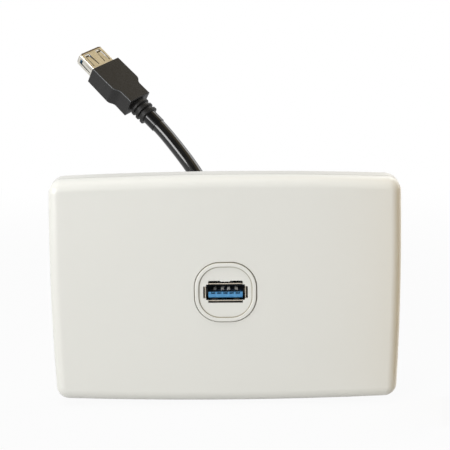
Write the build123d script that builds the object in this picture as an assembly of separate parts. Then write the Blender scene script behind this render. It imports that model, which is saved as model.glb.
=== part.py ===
from build123d import *
import os
from math import cos, pi, radians, sin, tan

# A wall plate with one USB 3 socket and a short flylead behind it, in millimetres.
# X runs to the right, Y runs back into the wall and Z runs up. The origin lies on the
# wall face, midway between the two fixing slots.

# Cover plate
plate_w = 116.0
plate_h = 76.6
plate_depth = 10.0
plate_corner_r = 5.3
long_edge_bow = 1.2
short_edge_bow = 0.8
side_draft = 8.0
front_edge_r = 3.7
cover_wall = 2.0
seam_gap = 0.4
aperture_gap = 0.2
collar_wall = 1.2
collar_h = 1.6
leg_w = 7.0
leg_t = 1.4
leg_x = 34.0
leg_z = 26.0
leg_wall_gap = 0.6

# Grid plate behind the cover
grid_gap = 0.35
grid_floor = 2.4
grid_edge_h = 4.5
grid_rim_h = 6.0
grid_rim_wall = 1.6
grid_rib_w = 1.2
grid_rib_h = 1.6
grid_rib_z = 15.0
fixing_centres = 84.0
fixing_slot_w = 4.0
fixing_slot_l = 8.0
fixing_boss_wall = 2.5
fixing_boss_h = 1.5
leg_clearance = 0.2

# Module that holds the socket
module_w = 20.0
module_h = 19.5
module_corner_r = 8.3
module_fit = 0.2
module_wall = 1.6
ring_w = 1.45
ring_proud = 0.5
ring_step = 0.5
ring_edge_r = 0.4
front_wall = 2.5
web_gap = 0.08
shoulder_rim = 2.5
shoulder_t = 2.0
shoulder_r = 4.0
sleeve_wall = 1.2
sleeve_rear = 12.0
pocket_fit = 0.12
hook_reach = 0.9
hook_w = 4.6
hook_l = 2.0
hook_gap = 0.05

# Folded steel shell of a socket
shell_w = 13.14
shell_h = 5.72
shell_len = 16.0
shell_r = 0.4
sheet = 0.3
lip_r = 0.7
lip_angle = 40.0
lip_w = 10.9
side_lip_w = 3.6
lip_gap = 0.52
finger_x = 3.5
finger_base = 8.8
finger_len = 6.4
finger_base_w = 2.8
finger_tip_w = 1.8
side_finger_w = 1.7
finger_slit = 0.4
finger_tip_gap = 0.9
finger_dip = 3.0
finger_relief_w = 3.9
finger_relief_h = 0.3

# Insulator and contacts inside the shell
insulator_fit = 0.05
tongue_w = 11.1
tongue_t = 2.0
tongue_lift = 0.45
tongue_tip = 0.9
tongue_nose = 0.35
block_front = 9.5
block_rear = 14.5
contact_t = 0.25
contact_tail = 1.4
power_w = 1.0
power_tip = 4.2
power_peak = 5.2
power_root = 8.2
power_rise = 0.55
power_bend_r = 0.4
power_xs = {"ground": -3.5, "d_plus": -1.0, "d_minus": 1.0, "vbus": 3.5}
signal_w = 0.8
signal_pitch = 2.0
signal_front = 3.0
signal_pad_l = 1.3
signal_ramp_l = 0.7
signal_bend_r = 0.2
signal_slot_depth = 0.65
signal_slot_margin = 0.3
signal_depth = 0.45
signal_names = ["rx_minus", "rx_plus", "drain", "tx_minus", "tx_plus"]

# Moulded grip and strain relief on each end of the flylead
mould_front = 10.6
mould_w = 16.8
mould_front_t = 8.9
mould_rear_t = 10.0
mould_body_l = 13.2
mould_shoulder_l = 4.6
mould_neck_w = 12.6
mould_neck_l = 6.3
mould_edge_r = 0.4
relief_rings = 3
relief_ring_d = 9.8
relief_core_d = 7.8
relief_ring_l = 1.7
relief_groove_l = 1.1
relief_flank = 0.4
relief_tail_d = 7.3
relief_tail_l = 6.0

# Flylead, from the panel end's strain relief to the inline end's
cable_d = 6.6
arc_share = 0.45
inline_face = (0.39, -0.66, 0.645)

# Sizes that follow
draft_slope = tan(radians(side_draft))
inner_w = shell_w - 2 * sheet
inner_h = shell_h - 2 * sheet
lip_l = lip_r * sin(radians(lip_angle))
lip_rise = lip_r - (lip_r - sheet) * cos(radians(lip_angle))
relief_l = relief_rings * (relief_groove_l + relief_ring_l)
mould_l = mould_body_l + mould_shoulder_l + mould_neck_l
lead_exit = mould_front + mould_l + relief_l + relief_tail_l
ring_front = -(plate_depth + ring_proud)
mouth_y = ring_front + ring_step
tongue_bottom = tongue_lift - inner_h / 2
tongue_top = tongue_bottom + tongue_t
contact_end = block_rear + contact_tail
pocket_front = mouth_y + mould_front - pocket_fit
mouth_web = lip_l - web_gap

cable_route = [
    Vector(0.0, mouth_y + lead_exit, 0.0),
    Vector(0.0, 57.0, 0.0),
    Vector(-2.2, 82.0, 9.0),
    Vector(-10.3, 101.0, 25.2),
    Vector(-21.7, 108.9, 40.8),
    Vector(-31.2, 112.6, 50.3),
]


def prism(profile, front, rear):
    """A profile drawn in X and Z, made solid from y = front back to y = rear."""
    return extrude(Plane.XZ.offset(-rear) * profile, amount=rear - front)


def plate_outline(inset):
    """The plate's bowed outline, set in from the outside all round."""
    half_w = plate_w / 2 - inset
    half_h = plate_h / 2 - inset
    corner_x = half_w - short_edge_bow
    corner_z = half_h - long_edge_bow
    sides = [
        ThreePointArc((-corner_x, corner_z), (0, half_h), (corner_x, corner_z)),
        ThreePointArc((corner_x, corner_z), (half_w, 0), (corner_x, -corner_z)),
        ThreePointArc((corner_x, -corner_z), (0, -half_h), (-corner_x, -corner_z)),
        ThreePointArc((-corner_x, -corner_z), (-half_w, 0), (-corner_x, corner_z)),
    ]
    outline = make_face(sides)
    return fillet(outline.vertices(), plate_corner_r - inset)


def plate_block(inset, depth):
    """The outline drawn forward from the wall, with its drafted sides."""
    return extrude(Plane.XZ * plate_outline(inset), amount=depth, taper=side_draft)


def round_front(block, radius):
    return fillet(block.faces().sort_by(Axis.Y)[0].edges(), radius)


def plate_form():
    """The outside of the closed plate, which the cover and the grid's edge share."""
    return round_front(plate_block(0, plate_depth), front_edge_r)


def wall_slab(depth):
    """Everything within a depth in front of the wall."""
    return prism(Rectangle(2 * plate_w, 2 * plate_h), -depth, 0)


def module_profile(growth):
    """The module's rounded square, grown or shrunk all round."""
    return RectangleRounded(module_w + 2 * growth, module_h + 2 * growth, module_corner_r + growth)


def leg_places():
    return [Pos(x, z) for x in (-leg_x, leg_x) for z in (-leg_z, leg_z)]


def cover_plate():
    inner_face = -(plate_depth - cover_wall)
    cover = plate_form()
    cover -= round_front(plate_block(cover_wall, plate_depth - cover_wall), front_edge_r - cover_wall)
    cover -= wall_slab(grid_edge_h + seam_gap)
    collar = module_profile(aperture_gap + collar_wall)
    cover += prism(collar, inner_face, inner_face + collar_h)
    for place in leg_places():
        cover += prism(place * Rectangle(leg_w, leg_t), inner_face, -leg_wall_gap)
    cover -= prism(module_profile(aperture_gap), -plate_depth, inner_face + collar_h)
    return cover


def grid_plate():
    inset = cover_wall + grid_gap + grid_rim_h * draft_slope
    tray_inset = inset + grid_rim_wall
    grid = plate_form() & wall_slab(grid_edge_h)
    grid += prism(plate_outline(inset), -grid_rim_h, 0)
    grid -= prism(plate_outline(tray_inset), -grid_rim_h, -grid_floor)
    for z in (-grid_rib_z, grid_rib_z):
        rib = Pos(0, z) * Rectangle(plate_w - 2 * tray_inset, grid_rib_w)
        grid += prism(rib, -grid_floor - grid_rib_h, -grid_floor)
    for x in (-fixing_centres / 2, fixing_centres / 2):
        boss = SlotOverall(fixing_slot_l + 2 * fixing_boss_wall, fixing_slot_w + 2 * fixing_boss_wall)
        grid += prism(Pos(x, 0) * boss, -grid_floor - fixing_boss_h, -grid_floor)
        slot = SlotOverall(fixing_slot_l, fixing_slot_w)
        grid -= prism(Pos(x, 0) * slot, -grid_floor - fixing_boss_h, 0)
    for place in leg_places():
        hole = Rectangle(leg_w + 2 * leg_clearance, leg_t + 2 * leg_clearance)
        grid -= prism(place * hole, -grid_floor, 0)
    grid -= prism(module_profile(module_fit), -grid_floor, 0)
    return grid


def socket_mouth():
    """The opening in the front web: the inside of the shell with a relief beside each of its four lips."""
    reach = 2 * (lip_rise + lip_gap)
    mouth = Rectangle(inner_w, inner_h)
    mouth += Rectangle(lip_w + 2 * pocket_fit, inner_h + reach)
    mouth += Rectangle(inner_w + reach, side_lip_w + 2 * pocket_fit)
    for x in (-finger_x, finger_x):
        mouth += Pos(x, (inner_h + reach) / 2) * Rectangle(finger_relief_w, 2 * finger_relief_h)
    return mouth, Rectangle(inner_w + reach, inner_h + reach)


def grip_thickness(back):
    """Thickness of a moulded grip this far behind its front face."""
    return mould_front_t + (mould_rear_t - mould_front_t) * back / mould_l


def module_housing():
    mouth, passage = socket_mouth()
    seat = mouth + Rectangle(shell_w + 2 * pocket_fit, shell_h + 2 * pocket_fit)
    sleeve_t = grip_thickness(sleeve_rear - mouth_y - mould_front)
    pocket = Rectangle(mould_w + 2 * pocket_fit, sleeve_t + 2 * pocket_fit)
    sleeve_h = sleeve_t + 2 * (pocket_fit + sleeve_wall)
    sleeve_w = mould_w + 2 * (pocket_fit + sleeve_wall)
    core = module_profile(-module_wall) - Rectangle(2 * module_w, sleeve_h)
    shoulder = RectangleRounded(module_w + 2 * shoulder_rim, module_h + 2 * shoulder_rim, shoulder_r)

    housing = prism(module_profile(0), ring_front, 0)
    housing -= prism(module_profile(-ring_w), ring_front, mouth_y)
    housing = round_front(housing, ring_edge_r)
    housing += prism(shoulder, 0, shoulder_t)
    housing += prism(Rectangle(sleeve_w, sleeve_h), 0, sleeve_rear)
    housing -= prism(core, mouth_y + front_wall, shoulder_t)
    housing -= prism(pocket, pocket_front, sleeve_rear)
    housing -= prism(passage, mouth_y + front_wall, pocket_front)
    housing -= prism(seat, mouth_y + mouth_web, mouth_y + front_wall)
    housing -= prism(mouth, mouth_y, mouth_y + mouth_web)

    hook_y = -grid_floor - hook_gap
    hook = Polyline(
        (module_w / 2 - module_wall / 2, hook_y),
        (module_w / 2 + hook_reach, hook_y),
        (module_w / 2, hook_y - hook_l),
        (module_w / 2 - module_wall / 2, hook_y - hook_l),
        close=True,
    )
    hook = extrude(make_face(hook), amount=hook_w / 2, both=True)
    housing += hook
    housing += mirror(hook, about=Plane.YZ)
    return housing


def spring_finger(place, base_w, tip_w):
    """A tapered finger in the sheet, free at its front end and dipped inwards, with its window."""

    def taper(grow, tip, root):
        half_base = base_w / 2 + grow
        half_tip = tip_w / 2 + grow
        return make_face(
            Polyline((-half_base, root), (half_base, root), (half_tip, -tip), (-half_tip, -tip), close=True)
        )

    window = Pos(0, 0, -sheet) * extrude(taper(finger_slit, finger_len + finger_tip_gap, 0), amount=sheet)
    flap = extrude(taper(0, finger_len, finger_slit), amount=-sheet)
    return place * window, place * (Rot(X=finger_dip) * flap)


def socket_shell():
    """The folded shell, its mouth at y = 0 and its length along +Y."""
    outer = RectangleRounded(shell_w, shell_h, shell_r)
    inner = RectangleRounded(inner_w, inner_h, shell_r - sheet)
    shell = prism(outer - inner, lip_l, shell_len)

    fingers = []
    for x in (-finger_x, finger_x):
        for side in (-1, 1):
            place = Plane((x, finger_base, side * shell_h / 2), (side, 0, 0), (0, 0, side))
            fingers.append(spring_finger(place, finger_base_w, finger_tip_w))
    for side in (-1, 1):
        place = Plane((side * shell_w / 2, finger_base, 0), (0, 0, -side), (side, 0, 0))
        fingers.append(spring_finger(place, side_finger_w, side_finger_w))
    for window, flap in fingers:
        shell -= window
    for window, flap in fingers:
        shell += flap

    top_edge = Plane((0, lip_l, (inner_h + sheet) / 2), (1, 0, 0), (0, -1, 0)) * Rectangle(lip_w, sheet)
    top_lip = revolve(top_edge, Axis((0, lip_l, inner_h / 2 + lip_r), (-1, 0, 0)), lip_angle)
    side_edge = Plane(((inner_w + sheet) / 2, lip_l, 0), (1, 0, 0), (0, -1, 0)) * Rectangle(sheet, side_lip_w)
    side_lip = revolve(side_edge, Axis((inner_w / 2 + lip_r, lip_l, 0), (0, 0, 1)), lip_angle)
    shell += top_lip + mirror(top_lip, about=Plane.XY)
    shell += side_lip + mirror(side_lip, about=Plane.YZ)
    return shell


def contact_strip(points, bend_r, width, x):
    """A bent strip that follows points in Y and Z."""
    path = FilletPolyline(*points, radius=bend_r)
    strip = Plane.YZ * trace(path, line_width=contact_t)
    return Pos(x, 0, 0) * extrude(strip, amount=width / 2, both=True)


def socket_contacts():
    contacts = {}
    lay = tongue_top - contact_t / 2
    power_path = [
        (contact_end, lay),
        (power_root, lay),
        (power_peak, tongue_top + power_rise),
        (power_tip, lay),
    ]
    for name, x in power_xs.items():
        contacts[name] = contact_strip(power_path, power_bend_r, power_w, x)

    pad = tongue_top - signal_slot_depth + contact_t / 2
    low = tongue_bottom + signal_depth
    signal_path = [
        (contact_end, low),
        (signal_front + signal_pad_l + signal_ramp_l, low),
        (signal_front + signal_pad_l, pad),
        (signal_front, pad),
    ]
    middle = (len(signal_names) - 1) / 2
    for i, name in enumerate(signal_names):
        contacts[name] = contact_strip(signal_path, signal_bend_r, signal_w, (i - middle) * signal_pitch)
    return contacts


def socket_insulator(contacts):
    block = Rectangle(inner_w - 2 * insulator_fit, inner_h - 2 * insulator_fit)
    tongue = Pos(0, tongue_bottom + tongue_t / 2) * Rectangle(tongue_w, tongue_t)
    nose = prism(tongue, tongue_tip, block_front)
    lower_tip = nose.edges().filter_by(Axis.X).group_by(Axis.Y)[0].sort_by(Axis.Z)[0]
    insulator = chamfer(lower_tip, tongue_nose) + prism(block, block_front, block_rear)
    slot_w = signal_w + 2 * signal_slot_margin
    slot_rear = signal_front + signal_pad_l + signal_slot_margin
    middle = (len(signal_names) - 1) / 2
    for i in range(len(signal_names)):
        slot = Pos((i - middle) * signal_pitch, tongue_top - signal_slot_depth / 2) * Rectangle(
            slot_w, signal_slot_depth
        )
        insulator -= prism(slot, tongue_tip, slot_rear)
    for contact in contacts.values():
        insulator -= contact
    return insulator


def relief_profile():
    """Half section of the ringed strain relief and its plain tail, from the grip's rear face back."""
    core = relief_core_d / 2
    ring = relief_ring_d / 2
    section = Rectangle(core, relief_l, align=(Align.MIN, Align.MIN))
    section += Pos(0, relief_l) * Rectangle(relief_tail_d / 2, relief_tail_l, align=(Align.MIN, Align.MIN))
    for i in range(relief_rings):
        start = relief_groove_l + i * (relief_groove_l + relief_ring_l)
        end = start + relief_ring_l
        band = Polyline(
            (0, start),
            (core, start),
            (ring, start + relief_flank),
            (ring, end - relief_flank),
            (core, end),
            (0, end),
            close=True,
        )
        section += make_face(band)
    return section


def moulded_grip():
    """The grip with its shoulders, neck and strain relief, its front face at y = mould_front."""
    half = mould_w / 2
    neck = mould_neck_w / 2
    mid_x = (half + neck) / 2
    mid_y = mould_body_l + mould_shoulder_l / 2
    neck_y = mould_body_l + mould_shoulder_l
    outer_curve = TangentArc((half, mould_body_l), (mid_x, mid_y), tangent=(0, 1))
    inner_curve = TangentArc((mid_x, mid_y), (neck, neck_y), tangent=outer_curve % 1)
    right = [
        Line((0, 0), (half, 0)),
        Line((half, 0), (half, mould_body_l)),
        outer_curve,
        inner_curve,
        Line((neck, neck_y), (neck, mould_l)),
        Line((neck, mould_l), (0, mould_l)),
    ]
    left = [mirror(edge, about=Plane.YZ) for edge in right]
    outline = make_face(right + left)
    side = Polyline(
        (0, -mould_front_t / 2),
        (0, mould_front_t / 2),
        (mould_l, mould_rear_t / 2),
        (mould_l, -mould_rear_t / 2),
        close=True,
    )
    grip = extrude(outline, amount=mould_rear_t / 2, both=True)
    grip &= extrude(Plane.YZ * make_face(side), amount=mould_w / 2, both=True)
    faces = grip.faces().sort_by(Axis.Z)
    grip = fillet(faces[0].edges() + faces[-1].edges(), mould_edge_r)
    relief = revolve(relief_profile(), Axis.Y)
    grip += Pos(0, mould_l, 0) * relief
    grip = Pos(0, mould_front, 0) * grip
    grip -= prism(RectangleRounded(shell_w, shell_h, shell_r), mould_front, shell_len)
    return grip


def flylead_cable():
    """Straight runs joined by tangent arcs, each taking the same share of its shorter run."""
    radii = []
    for before, point, after in zip(cable_route, cable_route[1:], cable_route[2:]):
        turn = (point - before).get_angle(after - point)
        shorter = min((point - before).length, (after - point).length)
        radii.append(arc_share * shorter / tan(radians(turn) / 2))
    path = FilletPolyline(*cable_route, radius=radii)
    start = Plane(cable_route[0], z_dir=cable_route[1] - cable_route[0])
    tube = sweep(start * Circle(cable_d / 2), path=path)
    section = pi * cable_d**2 / 4
    print("cable bend radii", [round(r, 1) for r in radii])
    print("cable length", round(path.length, 1), "volume", tube.volume, "against", section * path.length)
    return tube


def inline_place():
    """Where the inline socket's mouth lies, from the flylead's last run and the face it shows."""
    towards_lead = (cable_route[-2] - cable_route[-1]).normalized()
    face = Vector(inline_face)
    up = (face - towards_lead * face.dot(towards_lead)).normalized()
    mouth = cable_route[-1] - towards_lead * lead_exit
    return Plane(mouth, towards_lead.cross(up), up)


def main():
    shell = socket_shell()
    contacts = socket_contacts()
    insulator = socket_insulator(contacts)
    grip = moulded_grip()
    nodes = {
        "cover_plate": cover_plate(),
        "grid_plate": grid_plate(),
        "module_housing": module_housing(),
        "flylead_cable": flylead_cable(),
    }
    ends = {"panel": Plane((0, mouth_y, 0)), "inline": inline_place()}
    for end, place in ends.items():
        nodes[end + "_shell"] = place * shell
        nodes[end + "_insulator"] = place * insulator
        nodes[end + "_overmould"] = place * grip
        for name, contact in contacts.items():
            nodes[end + "_contact_" + name] = place * contact
    os.makedirs("parts", exist_ok=True)
    for name, solid in nodes.items():
        export_step(solid, "parts/" + name + ".step")


main()
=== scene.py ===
from math import cos, radians, sin

import bmesh
import bpy
from mathutils import Matrix, Vector


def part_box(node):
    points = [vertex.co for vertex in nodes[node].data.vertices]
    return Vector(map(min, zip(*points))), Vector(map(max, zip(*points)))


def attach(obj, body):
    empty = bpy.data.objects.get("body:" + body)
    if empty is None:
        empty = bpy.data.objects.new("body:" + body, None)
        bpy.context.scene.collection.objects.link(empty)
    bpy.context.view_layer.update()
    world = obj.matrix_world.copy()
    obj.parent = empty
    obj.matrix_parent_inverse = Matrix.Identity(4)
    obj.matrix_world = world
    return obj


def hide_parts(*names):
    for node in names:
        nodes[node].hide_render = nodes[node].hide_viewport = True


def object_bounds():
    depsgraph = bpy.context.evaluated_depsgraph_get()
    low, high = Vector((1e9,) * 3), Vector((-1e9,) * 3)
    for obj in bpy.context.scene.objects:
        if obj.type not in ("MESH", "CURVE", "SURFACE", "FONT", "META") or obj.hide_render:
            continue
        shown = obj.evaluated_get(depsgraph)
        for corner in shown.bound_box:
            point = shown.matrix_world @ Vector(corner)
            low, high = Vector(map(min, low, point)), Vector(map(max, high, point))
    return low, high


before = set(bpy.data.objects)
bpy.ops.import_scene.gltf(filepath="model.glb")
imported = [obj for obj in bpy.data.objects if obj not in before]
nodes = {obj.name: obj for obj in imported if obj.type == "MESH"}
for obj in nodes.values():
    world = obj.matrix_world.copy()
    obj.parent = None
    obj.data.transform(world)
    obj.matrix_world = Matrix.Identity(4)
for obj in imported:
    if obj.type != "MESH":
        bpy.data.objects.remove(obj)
cad_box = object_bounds()

# Camera at the photograph's viewpoint, in metres, degrees and pixels of its square image
image_px = 450
focal_px = 795.0
sensor_mm = 36.0
camera_at = (0.0012, -0.260, 0.0605)
camera_pitch = 8.77
camera_yaw = -0.26
camera_roll = -0.60
camera_near = 0.01

# Flylead, from the panel end's strain relief to the inline end's, and where its inline socket's top looks
cable_d = 0.0066
cable_route = [
    (0.0, 0.0391, 0.0),
    (0.0, 0.0570, 0.0),
    (-0.0022, 0.0820, 0.0090),
    (-0.0116, 0.1000, 0.0269),
    (-0.0271, 0.1110, 0.0462),
    (-0.0312, 0.1126, 0.0503),
]
cable_steps = 24
cable_facets = 12
inline_top = (0.39, -0.66, 0.645)

# Places in a socket's own frame: half sizes inside its shell and across its cut-outs, its lips' depth, where
# the painted shade on its tongue starts and is full, and where its grip ends and the plain tail of its strain
# relief starts
shell_half_w = 0.006275
shell_half_h = 0.002565
cut_half_w = 0.0058
lip_depth = 0.0009
tongue_shade_start = 0.0011
tongue_shade_full = 0.0030
grip_end = 0.0347
tail_start = 0.0431

# Bridge over the front of each slot in the tongue: its reach into the socket and its height
slot_count = 5
slot_pitch = 0.0020
slot_w = 0.0014
bridge_y = (0.00090, 0.00125)
bridge_z = (-0.00028, -0.00011)
bridge_chamfer = 0.00006

# Outward roll at each spring finger's tip: Y and Z of the sheet's middle there, its slope and its bend
finger_x = 0.0035
finger_tip_w = 0.0018
finger_tip = (0.002417, 0.002375)
finger_dip = 3.0
sheet = 0.0003
roll_r = 0.00035
roll_turn = 100.0
roll_steps = 10

# Module's outline, ring and opening: half sizes, corner radius, the ring's width and the width of the painted
# shade lines at its seam and ring
module_half = (0.0100, 0.00975)
module_corner = 0.0083
ring_w = 0.00145
line_w = 0.00025
opening_half = (0.0073, 0.0039)

# Contacts on top of the tongue, and those in its slots
power_contacts = ("ground", "d_plus", "d_minus", "vbus")
signal_contacts = ("rx_minus", "rx_plus", "drain", "tx_minus", "tx_plus")

# Floor and world: the floor is matt and also glows white, slightly less up to the first distance of its fade
floor_reach = 6.0
floor_shade = 0.50
floor_glow = 0.94
floor_fade = (0.20, 0.70)
world_light = (0.34, 0.345, 0.352)

# Lamps that no surface mirrors: the main one from the left, one above, and one from the right and behind
soft_lamps = {
    "key": {"at": (-0.70, -0.81, 0.35), "size": (0.50, 0.50), "power": 8.15},
    "top": {"at": (-0.15, -0.14, 0.90), "size": (0.6, 0.6), "power": 4.1},
    "back": {"at": (0.95, 0.50, 0.14), "size": (0.8, 0.6), "power": 11.0},
}

# Lamps that are only mirrored: a rim of light from behind, and the streak along the flylead
mirrored_lamps = {
    "rim": {"at": (0.25, 0.36, 0.39), "size": (0.22, 0.30), "power": 0.50},
    "streak": {"at": (-0.86, -0.62, 0.275), "size": (0.44, 0.60), "power": 8.2},
}

# Cards outside the picture: one warms the plate's right edge, and the others are only mirrored
side_card = {"at": (0.069, -0.0172, 0.0), "size": (0.025, 0.24), "tint": (0.34, 0.20, 0.0)}
mirrored_cards = {
    "ceiling_card": {"at": (0.16, 0.18, 0.62), "size": (0.5, 0.5), "tint": (0.82, 0.68, 0.44)},
    "flag": {"at": (-0.05, -0.25, 0.45), "size": (0.55, 0.55), "tint": (0.18, 0.165, 0.14)},
}

# Colours, as linear values
white = (1.0, 1.0, 1.0)
cream = (0.743, 0.736, 0.684)
cream_light = (0.753, 0.745, 0.694)
# Painted shade in the module's seam and at its ring's inner edge
seam_shade = (0.31, 0.28, 0.20)
# Grey clouds on the grid: random tone and painted shade on its edge behind the cover
grid_shade_grey = (0.50, 0.495, 0.47)
# Painted shade on the walls of the module's opening
opening_shade = (0.040, 0.035, 0.028)
black_grip = (0.009, 0.0085, 0.0080)
black_grip_worn = (0.0115, 0.0108, 0.0102)
# Painted highlight along the grip's rounded edges
grip_edge_highlight = (0.110, 0.114, 0.118)
black_jacket = (0.005, 0.005, 0.0055)
black_jacket_worn = (0.008, 0.008, 0.008)
nickel = (0.68, 0.66, 0.60)
nickel_dull = (0.54, 0.52, 0.45)
# Painted shade behind the shells' lips, on faces turned into the socket and in the cuts
nickel_shade = (0.16, 0.13, 0.10)
# Painted reflection: pale tan on the front of the shells' lips
nickel_rim_reflection = (0.60, 0.53, 0.43)
# Painted shade inside the sockets' shells
socket_inside_shade = (0.050, 0.048, 0.044)
blue = (0.060, 0.245, 0.500)
blue_light = (0.088, 0.305, 0.555)
# Painted shade on the tongue deeper in the socket
blue_depth_shade = (0.010, 0.020, 0.040)
contact_bright = (0.92, 0.91, 0.88)
contact_dull = (0.74, 0.72, 0.68)
# Painted shade: the plated pads in the tongue's slots, coloured dark navy
pad_shade_light = (0.10, 0.11, 0.14)
pad_shade_dark = (0.05, 0.06, 0.08)

# Gloss: roughness of the smoothest and the dullest spots or of a whole zone, and the shader's constants
plate_rough = (0.36, 0.42)
grip_rough = (0.37, 0.44)
relief_rough = 0.52
tail_rough = 0.11
jacket_rough = (0.08, 0.14)
steel_rough = (0.22, 0.32)
insulator_rough = (0.28, 0.42)
contact_rough = (0.22, 0.36)
plastic_ior = 1.5
insulator_ior = 1.52
grip_specular = 0.32
jacket_specular = 0.44
contact_metallic = 0.25

# Heights of the fine relief
plate_ripple = 0.000006
plate_grain = 0.0000012
grip_grain = 0.0000028
jacket_swell = 0.00002
jacket_grain = 0.000003
steel_lines = 0.0000006
insulator_grain = 0.000006
contact_lines = 0.000003

# Where most of a noise pattern's values lie
noise_span = (0.3, 0.7)

# How squarely a face looks a way that it counts as turned to, and where the painted highlight on the grip's
# edges starts and is full
turned_slightly = 0.3
turned_mostly = 0.5
edge_highlight_turn = (0.15, 0.40)


def new_object(name, data):
    """An object of the scene that holds this data."""
    made = bpy.data.objects.new(name, data)
    bpy.context.scene.collection.objects.link(made)
    return made


def make_camera():
    """A camera that looks along a pitch and a yaw, rolled about its line of sight."""
    pitch = radians(camera_pitch)
    yaw = radians(camera_yaw)
    roll = radians(camera_roll)
    forward = Vector((sin(yaw) * cos(pitch), cos(yaw) * cos(pitch), -sin(pitch)))
    level = Vector((cos(yaw), -sin(yaw), 0.0))
    upright = level.cross(forward)
    right = level * cos(roll) + upright * sin(roll)
    up = upright * cos(roll) - level * sin(roll)
    data = bpy.data.cameras.new("camera")
    data.sensor_width = sensor_mm
    data.lens = focal_px / image_px * sensor_mm
    data.clip_start = camera_near
    camera = new_object("camera", data)
    turn = Matrix((right, up, -forward)).transposed().to_4x4()
    camera.matrix_world = Matrix.Translation(camera_at) @ turn
    bpy.context.scene.camera = camera


class Nodes:
    """A node tree in the making."""

    def __init__(self, tree):
        self.tree = tree

    def add(self, kind):
        return self.tree.nodes.new(kind)

    def link(self, start, end):
        self.tree.links.new(start, end)

    def math(self, operation, *values):
        """The result of an operation on numbers and on what other nodes give."""
        node = self.add("ShaderNodeMath")
        node.operation = operation
        for socket, value in zip(node.inputs, values):
            if isinstance(value, float):
                socket.default_value = value
            else:
                self.link(value, socket)
        return node.outputs["Value"]

    def fade(self, value, start, end, low=0.0):
        """A smooth change between two limits, from a low value to one."""
        rise = self.add("ShaderNodeMapRange")
        rise.interpolation_type = "SMOOTHSTEP"
        rise.inputs["From Min"].default_value = start
        rise.inputs["From Max"].default_value = end
        rise.inputs["To Min"].default_value = low
        self.link(value, rise.inputs["Value"])
        return rise.outputs["Result"]


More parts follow.
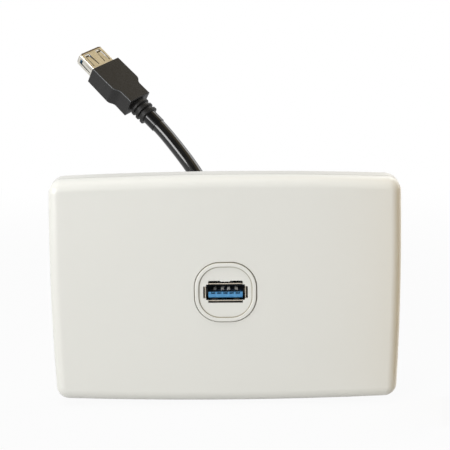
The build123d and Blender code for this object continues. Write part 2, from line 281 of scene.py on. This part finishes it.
class SurfaceNodes(Nodes):
    """A material in the making: its nodes, its shader and the coordinates that its patterns use."""

    def __init__(self, name, place=None):
        self.material = bpy.data.materials.new(name)
        self.material.use_nodes = True
        super().__init__(self.material.node_tree)
        self.shader = self.tree.nodes["Principled BSDF"]
        self.place = self.add("ShaderNodeTexCoord").outputs["Object"]
        if place is not None:
            local = place.inverted()
            mapping = self.add("ShaderNodeMapping")
            mapping.inputs["Location"].default_value = local.translation
            mapping.inputs["Rotation"].default_value = local.to_euler()
            self.link(self.place, mapping.inputs["Vector"])
            self.place = mapping.outputs["Vector"]

    def set(self, **values):
        """Sets the shader's own sockets, with an underscore for each space in a socket's name."""
        for name, value in values.items():
            self.shader.inputs[name.replace("_", " ")].default_value = value

    def noise(self, scale, detail=2.0, stretch=(1.0, 1.0, 1.0)):
        """A noise pattern, finer for a larger scale, and drawn out along an axis for a small stretch."""
        mapping = self.add("ShaderNodeMapping")
        mapping.inputs["Scale"].default_value = stretch
        self.link(self.place, mapping.inputs["Vector"])
        noise = self.add("ShaderNodeTexNoise")
        noise.inputs["Scale"].default_value = scale
        noise.inputs["Detail"].default_value = detail
        self.link(mapping.outputs["Vector"], noise.inputs["Vector"])
        return noise.outputs["Fac"]

    def along(self, axis):
        """The local coordinate along an axis: in a socket, Y runs from its mouth into it."""
        split = self.add("ShaderNodeSeparateXYZ")
        self.link(self.place, split.inputs["Vector"])
        return split.outputs[axis]

    def facing(self, direction):
        """How squarely the surface faces along a direction."""
        dot = self.add("ShaderNodeVectorMath")
        dot.operation = "DOT_PRODUCT"
        dot.inputs[1].default_value = direction
        self.link(self.add("ShaderNodeTexCoord").outputs["Normal"], dot.inputs[0])
        return dot.outputs["Value"]

    def over(self, value, limit):
        return self.math("GREATER_THAN", value, limit)

    def under(self, value, limit):
        return self.math("LESS_THAN", value, limit)

    def within(self, axis, half):
        """One up to a distance from the local origin, and zero past it."""
        return self.math("COMPARE", self.along(axis), 0.0, half)

    def both(self, *masks):
        """Where all of these masks let a colour show."""
        total = masks[0]
        for mask in masks[1:]:
            total = self.math("MULTIPLY", total, mask)
        return total

    def outside(self, mask):
        """Where a mask lets nothing show."""
        return self.math("SUBTRACT", 1.0, mask)

    def rounded(self, half, corner):
        """How far a point lies outside a rounded rectangle in the local X and Z."""
        squares = []
        for axis, size in zip("XZ", half):
            reach = self.math("SUBTRACT", self.math("ABSOLUTE", self.along(axis)), size - corner)
            squares.append(self.math("POWER", self.math("MAXIMUM", reach, 0.0), 2.0))
        return self.math("SUBTRACT", self.math("SQRT", self.math("ADD", *squares)), corner)

    def colour(self, pattern, first, second, start=0.35, end=0.65):
        """The base colour, which runs from one tint to another as a pattern rises between two values."""
        ramp = self.add("ShaderNodeValToRGB")
        ramp.color_ramp.elements[0].position = start
        ramp.color_ramp.elements[0].color = (*first, 1.0)
        ramp.color_ramp.elements[1].position = end
        ramp.color_ramp.elements[1].color = (*second, 1.0)
        self.link(pattern, ramp.inputs["Fac"])
        self.link(ramp.outputs["Color"], self.shader.inputs["Base Color"])

    def overlay(self, mask, tint):
        """Another colour over the present one, as far as the mask lets it show."""
        base = self.shader.inputs["Base Color"]
        mix = self.add("ShaderNodeMixRGB")
        mix.inputs["Color2"].default_value = (*tint, 1.0)
        self.link(base.links[0].from_socket, mix.inputs["Color1"])
        self.link(mask, mix.inputs["Fac"])
        self.link(mix.outputs["Color"], base)

    def rough(self, pattern, span):
        """Roughness that follows a pattern from the smoothest spot to the dullest."""
        spread = self.add("ShaderNodeMapRange")
        spread.inputs["From Min"].default_value = noise_span[0]
        spread.inputs["From Max"].default_value = noise_span[1]
        spread.inputs["To Min"].default_value = span[0]
        spread.inputs["To Max"].default_value = span[1]
        self.link(pattern, spread.inputs["Value"])
        self.link(spread.outputs["Result"], self.shader.inputs["Roughness"])

    def polish(self, mask, roughness):
        """Another roughness under a mask."""
        rough = self.shader.inputs["Roughness"]
        kept = self.math("MULTIPLY", rough.links[0].from_socket, self.outside(mask))
        self.link(self.math("MULTIPLY_ADD", mask, roughness, kept), rough)

    def matt(self, mask):
        """No metal shine under a mask."""
        self.link(self.outside(mask), self.shader.inputs["Metallic"])

    def bump(self, pattern, height, under=None):
        """Fine relief that follows a pattern, on top of another relief if one is given."""
        bump = self.add("ShaderNodeBump")
        bump.inputs["Distance"].default_value = height
        self.link(pattern, bump.inputs["Height"])
        if under is not None:
            self.link(under, bump.inputs["Normal"])
        self.link(bump.outputs["Normal"], self.shader.inputs["Normal"])
        return bump.outputs["Normal"]


def moulded_cream(name):
    """Cream wall-plate plastic: a faint cloud in its colour, a slight ripple and a fine grain."""
    surface = SurfaceNodes(name)
    surface.set(IOR=plastic_ior)
    surface.colour(surface.noise(scale=35.0), cream, cream_light, start=0.2, end=0.8)
    surface.rough(surface.noise(scale=600.0, detail=3.0), plate_rough)
    ripple = surface.bump(surface.noise(scale=900.0, detail=1.0), plate_ripple)
    surface.bump(surface.noise(scale=5200.0), plate_grain, ripple)
    return surface


def module_cream(name):
    """The same plastic, with painted shade in lines at the module's seam and ring and on its opening's walls.
    """
    surface = moulded_cream(name)
    # Painted shade lines along the module's seam and its ring's inner edge
    past_seam = surface.rounded(module_half, module_corner)
    for inset in (0.0, ring_w):
        off_line = surface.math("ABSOLUTE", surface.math("ADD", past_seam, inset))
        surface.overlay(surface.fade(off_line, line_w, 0.0), seam_shade)
    # Painted shade on the walls of the opening
    walls = surface.under(surface.facing((0.0, -1.0, 0.0)), turned_mostly)
    opening = [surface.within(axis, half) for axis, half in zip("XZ", opening_half)]
    surface.overlay(surface.both(walls, *opening), opening_shade)
    return surface


def grid_cream(name):
    """The same plastic, clouded with grey: random tone and painted shade on the grid that stays behind the
    cover.
    """
    surface = moulded_cream(name)
    # Painted shade, laid on in grey clouds
    surface.overlay(surface.noise(scale=20.0), grid_shade_grey)
    return surface


def grip_black(name, place):
    """Satin black grip with a fine grain, a painted highlight on its edges, a dull strain relief and a glossy
    tail on it.
    """
    surface = SurfaceNodes(name, place)
    surface.set(IOR=plastic_ior, Specular_IOR_Level=grip_specular)
    surface.colour(surface.noise(scale=420.0, detail=4.0), black_grip, black_grip_worn)
    surface.rough(surface.noise(scale=900.0, detail=3.0), grip_rough)
    # Painted highlight on the grip's rounded edges
    sideways = surface.math("ABSOLUTE", surface.facing(place.col[0].xyz))
    upright = surface.math("ABSOLUTE", surface.facing(place.col[2].xyz))
    edge = surface.fade(surface.both(sideways, upright), *edge_highlight_turn)
    surface.overlay(surface.both(edge, surface.under(surface.along("Y"), grip_end)), grip_edge_highlight)
    surface.polish(surface.over(surface.along("Y"), grip_end), relief_rough)
    tail = surface.over(surface.along("Y"), tail_start)
    surface.overlay(tail, black_jacket)
    surface.polish(tail, tail_rough)
    surface.bump(surface.noise(scale=5200.0, detail=3.0), grip_grain)
    return surface.material


def jacket_black(name):
    """Glossy soft jacket with a faint unevenness from the wires inside."""
    surface = SurfaceNodes(name)
    surface.set(IOR=plastic_ior, Specular_IOR_Level=jacket_specular)
    surface.colour(surface.noise(scale=300.0, detail=3.0), black_jacket, black_jacket_worn)
    surface.rough(surface.noise(scale=500.0, detail=3.0), jacket_rough)
    swell = surface.bump(surface.noise(scale=260.0, detail=1.0), jacket_swell)
    surface.bump(surface.noise(scale=4000.0), jacket_grain, swell)
    return surface.material


def plated_steel(name, place):
    """Nickel-plated sheet with rolling lines, with painted shade inside, behind its lips and in its cuts, and
    a pale painted reflection in front.
    """
    surface = SurfaceNodes(name, place)
    surface.set(Metallic=1.0)
    lines = surface.noise(scale=2600.0, detail=3.0, stretch=(1.0, 0.04, 1.0))
    surface.colour(surface.noise(scale=500.0, detail=4.0), nickel_dull, nickel, start=0.2, end=0.6)
    # Painted shade inside the shell
    inside = surface.both(surface.within("X", shell_half_w), surface.within("Z", shell_half_h))
    surface.overlay(inside, socket_inside_shade)
    # Painted shade behind the upper lip, on faces turned into the socket, in the upper cuts and on the lower
    # fingers' tips
    upper = surface.over(surface.along("Z"), shell_half_h)
    lower = surface.under(surface.along("Z"), -shell_half_h)
    mouth = surface.under(surface.along("Y"), lip_depth)
    behind = surface.over(surface.along("Y"), lip_depth)
    backward = surface.facing(place.col[1].xyz)
    upward = surface.facing(place.col[2].xyz)
    lip = surface.both(upper, mouth, surface.over(backward, -turned_slightly))
    backs = surface.over(backward, turned_slightly)
    cuts = surface.both(upper, surface.within("X", cut_half_w), surface.under(upward, turned_mostly))
    lower_cuts = surface.both(lower, behind, surface.over(upward, -turned_mostly))
    for mask in (lip, backs, cuts, lower_cuts):
        surface.overlay(mask, nickel_shade)
    # Painted reflection: a pale tan, matt front on the lips
    rim = surface.both(mouth, surface.under(backward, -turned_slightly), surface.outside(inside))
    surface.overlay(rim, nickel_rim_reflection)
    surface.matt(rim)
    surface.rough(lines, steel_rough)
    surface.bump(lines, steel_lines)
    return surface.material


def blue_insulator(name, place):
    """Blue insulator plastic, slightly uneven in colour, with painted shade deeper in the socket."""
    surface = SurfaceNodes(name, place)
    surface.set(IOR=insulator_ior)
    surface.colour(surface.noise(scale=900.0, detail=3.0), blue, blue_light)
    # Painted shade, deeper into the socket
    surface.overlay(surface.fade(surface.along("Y"), tongue_shade_start, tongue_shade_full), blue_depth_shade)
    surface.rough(surface.noise(scale=1500.0), insulator_rough)
    surface.bump(surface.noise(scale=4000.0), insulator_grain)
    return surface.material


def contact_metal(name, place, dull, bright):
    """Plated contact with stamping lines along it."""
    surface = SurfaceNodes(name, place)
    surface.set(Metallic=contact_metallic)
    lines = surface.noise(scale=3000.0, stretch=(1.0, 0.05, 1.0))
    surface.colour(lines, dull, bright)
    surface.rough(lines, contact_rough)
    surface.bump(lines, contact_lines)
    return surface.material


def dress(name, material):
    """Gives a solid its material."""
    slots = nodes[name].data.materials
    slots.clear()
    slots.append(material)


def dress_plate():
    dress("cover_plate", moulded_cream("cover_plastic").material)
    dress("grid_plate", grid_cream("grid_plastic").material)
    dress("module_housing", module_cream("module_plastic").material)


def make_prisms(name, place, sections, middles, width):
    """Like forms in one mesh, each with its section in the local Y and Z and its width along X."""
    form = bmesh.new()
    for section in sections:
        for middle in middles:
            ends = []
            for x in (middle - width / 2, middle + width / 2):
                ends.append([form.verts.new(place @ Vector((x, y, z))) for y, z in section])
                form.faces.new(ends[-1])
            first, second = ends
            for i in range(len(section)):
                form.faces.new((first[i - 1], first[i], second[i], second[i - 1]))
    bmesh.ops.recalc_face_normals(form, faces=form.faces)
    mesh = bpy.data.meshes.new(name)
    form.to_mesh(mesh)
    form.free()
    piece = new_object(name, mesh)
    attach(piece, "base")
    return piece


def bridge_section():
    """Section of a bridge, with a chamfer on its upper front edge."""
    front, back = bridge_y
    bottom, top = bridge_z
    return [
        (front, bottom),
        (front, top - bridge_chamfer),
        (front + bridge_chamfer, top),
        (back, top),
        (back, bottom),
    ]


def make_bridges(end, place, material):
    middles = [(i - (slot_count - 1) / 2) * slot_pitch for i in range(slot_count)]
    bridges = make_prisms(end + "_tongue_bridges", place, [bridge_section()], middles, slot_w)
    bridges.data.materials.append(material)
    return bridges


def finger_roll(side):
    """Section of the sheet at a finger's tip, rolled outwards, on the upper or lower face of a shell."""
    dip = radians(finger_dip)
    along = Vector((-cos(dip), -sin(dip)))
    outward = Vector((-sin(dip), cos(dip)))
    centre = Vector(finger_tip) + outward * roll_r
    outer = []
    inner = []
    for i in range(roll_steps + 1):
        turn = radians(roll_turn) * i / roll_steps
        ray = along * sin(turn) - outward * cos(turn)
        outer.append(centre + ray * (roll_r + sheet / 2))
        inner.append(centre + ray * (roll_r - sheet / 2))
    return [(y, z * side) for y, z in outer + inner[::-1]]


def make_finger_tips(end, place, material):
    sections = [finger_roll(side) for side in (-1, 1)]
    tips = make_prisms(end + "_finger_tips", place, sections, (-finger_x, finger_x), finger_tip_w)
    tips.data.materials.append(material)
    return tips


def socket_places():
    """Where each socket's mouth lies, with its length along the local Y axis."""
    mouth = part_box("panel_shell")[0].y
    end = Vector(cable_route[-1])
    along = (Vector(cable_route[-2]) - end).normalized()
    top = Vector(inline_top)
    up = (top - along * top.dot(along)).normalized()
    turn = Matrix((along.cross(up), along, up)).transposed().to_4x4()
    lead_exit = cable_route[0][1] - mouth
    return {
        "panel": Matrix.Translation((0.0, mouth, 0.0)),
        "inline": Matrix.Translation(end - along * lead_exit) @ turn,
    }


def dress_sockets():
    """Gives both sockets their materials and their small forms, which it returns."""
    small_forms = []
    for end, place in socket_places().items():
        steel = plated_steel(end + "_shell_steel", place)
        plastic = blue_insulator(end + "_blue_plastic", place)
        spring = contact_metal(end + "_spring_metal", place, contact_dull, contact_bright)
        # The pads' colours are painted shade
        pad = contact_metal(end + "_pad_painted_shade", place, pad_shade_dark, pad_shade_light)
        dress(end + "_shell", steel)
        dress(end + "_insulator", plastic)
        dress(end + "_overmould", grip_black(end + "_black_plastic", place))
        for contact in power_contacts:
            dress(end + "_contact_" + contact, spring)
        for contact in signal_contacts:
            dress(end + "_contact_" + contact, pad)
        small_forms.append(make_bridges(end, place, plastic))
        small_forms.append(make_finger_tips(end, place, steel))
    return small_forms


def make_cable(small_forms):
    """The flylead as one smooth line, with the route's points as its control points."""
    data = bpy.data.curves.new("flylead", "CURVE")
    data.dimensions = "3D"
    data.bevel_depth = cable_d / 2
    data.bevel_resolution = cable_facets
    data.resolution_u = cable_steps
    data.use_fill_caps = True
    spline = data.splines.new("NURBS")
    spline.points.add(len(cable_route) - 1)
    for point, place in zip(spline.points, cable_route):
        point.co = (*place, 1.0)
    spline.order_u = 3
    spline.use_endpoint_u = True
    cable = new_object("flylead", data)
    data.materials.append(jacket_black("cable_jacket"))
    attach(cable, "base")
    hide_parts("flylead_cable")
    on_cable = [nodes[name] for name in sorted(nodes)] + small_forms
    on_cable = [piece for piece in on_cable if piece.name.startswith("inline_")]


def bare_material(name):
    """A material with no shader yet: its nodes, and the socket that its shader goes to."""
    material = bpy.data.materials.new(name)
    material.use_nodes = True
    tree = material.node_tree
    tree.nodes.remove(tree.nodes["Principled BSDF"])
    return material, Nodes(tree), tree.nodes["Material Output"].inputs["Surface"]


def backdrop_seen(maker):
    """One where a ray from the camera, a reflection or a clear piece sees the backdrop itself."""
    path = maker.add("ShaderNodeLightPath")
    seen = path.outputs["Is Camera Ray"]
    for name in ("Is Glossy Ray", "Is Transmission Ray"):
        seen = maker.math("MAXIMUM", seen, path.outputs[name])
    return seen


def floor_white():
    """Matt grey that looks white, with a trace of shadow near the object."""
    material, maker, output = bare_material("floor")
    matt = maker.add("ShaderNodeBsdfDiffuse")
    matt.inputs["Color"].default_value = (floor_shade, floor_shade, floor_shade, 1.0)
    glow = maker.add("ShaderNodeEmission")
    distance = maker.add("ShaderNodeVectorMath")
    distance.operation = "LENGTH"
    maker.link(maker.add("ShaderNodeTexCoord").outputs["Object"], distance.inputs[0])
    share = maker.fade(distance.outputs["Value"], *floor_fade, low=floor_glow)
    mix = maker.add("ShaderNodeMixShader")
    maker.link(maker.math("MULTIPLY", backdrop_seen(maker), share), mix.inputs["Fac"])
    maker.link(matt.outputs["BSDF"], mix.inputs[1])
    maker.link(glow.outputs["Emission"], mix.inputs[2])
    maker.link(mix.outputs["Shader"], output)
    return material


def make_floor():
    bpy.ops.mesh.primitive_plane_add(size=floor_reach, location=(0, 0, cad_box[0][2]))
    floor = bpy.context.object
    floor.name = "floor"
    floor.data.materials.append(floor_white())


def make_world():
    """White where it shows, and a plain soft light elsewhere."""
    world = bpy.data.worlds.new("studio")
    bpy.context.scene.world = world
    world.use_nodes = True
    world.node_tree.nodes.clear()
    maker = Nodes(world.node_tree)
    mix = maker.add("ShaderNodeMixRGB")
    mix.inputs["Color1"].default_value = (*world_light, 1.0)
    mix.inputs["Color2"].default_value = (*white, 1.0)
    maker.link(backdrop_seen(maker), mix.inputs["Fac"])
    background = maker.add("ShaderNodeBackground")
    maker.link(mix.outputs["Color"], background.inputs["Color"])
    output = maker.add("ShaderNodeOutputWorld")
    maker.link(background.outputs["Background"], output.inputs["Surface"])


def make_lamp(name, at, size, power):
    """An oval lamp that shines at the object's origin and doesn't show itself."""
    data = bpy.data.lights.new(name, "AREA")
    data.shape = "ELLIPSE"
    data.size, data.size_y = size
    data.energy = power
    lamp = new_object(name, data)
    lamp.location = at
    lamp.rotation_euler = (-Vector(at)).to_track_quat("-Z", "Y").to_euler()
    lamp.visible_camera = False
    return lamp


def make_card(name, at, size, tint):
    """A coloured card outside the picture, square to the line from the object's origin."""
    bpy.ops.mesh.primitive_plane_add(size=1.0, location=at)
    card = bpy.context.object
    card.name = name
    card.scale = (*size, 1.0)
    card.rotation_euler = Vector(at).to_track_quat("Z", "Y").to_euler()
    card.visible_camera = False
    material, maker, output = bare_material(name)
    glow = maker.add("ShaderNodeEmission")
    glow.inputs["Color"].default_value = (*tint, 1.0)
    maker.link(glow.outputs["Emission"], output)
    card.data.materials.append(material)
    return card


def make_light():
    for name, values in soft_lamps.items():
        make_lamp(name, **values).visible_glossy = False
    for name, values in mirrored_lamps.items():
        make_lamp(name, **values).visible_diffuse = False
    make_card("side_card", **side_card)
    for name, values in mirrored_cards.items():
        card = make_card(name, **values)
        card.visible_diffuse = False
        card.visible_shadow = False


def main():
    bpy.context.scene.view_settings.view_transform = "Standard"
    make_camera()
    make_floor()
    make_world()
    make_light()
    dress_plate()
    make_cable(dress_sockets())


main()
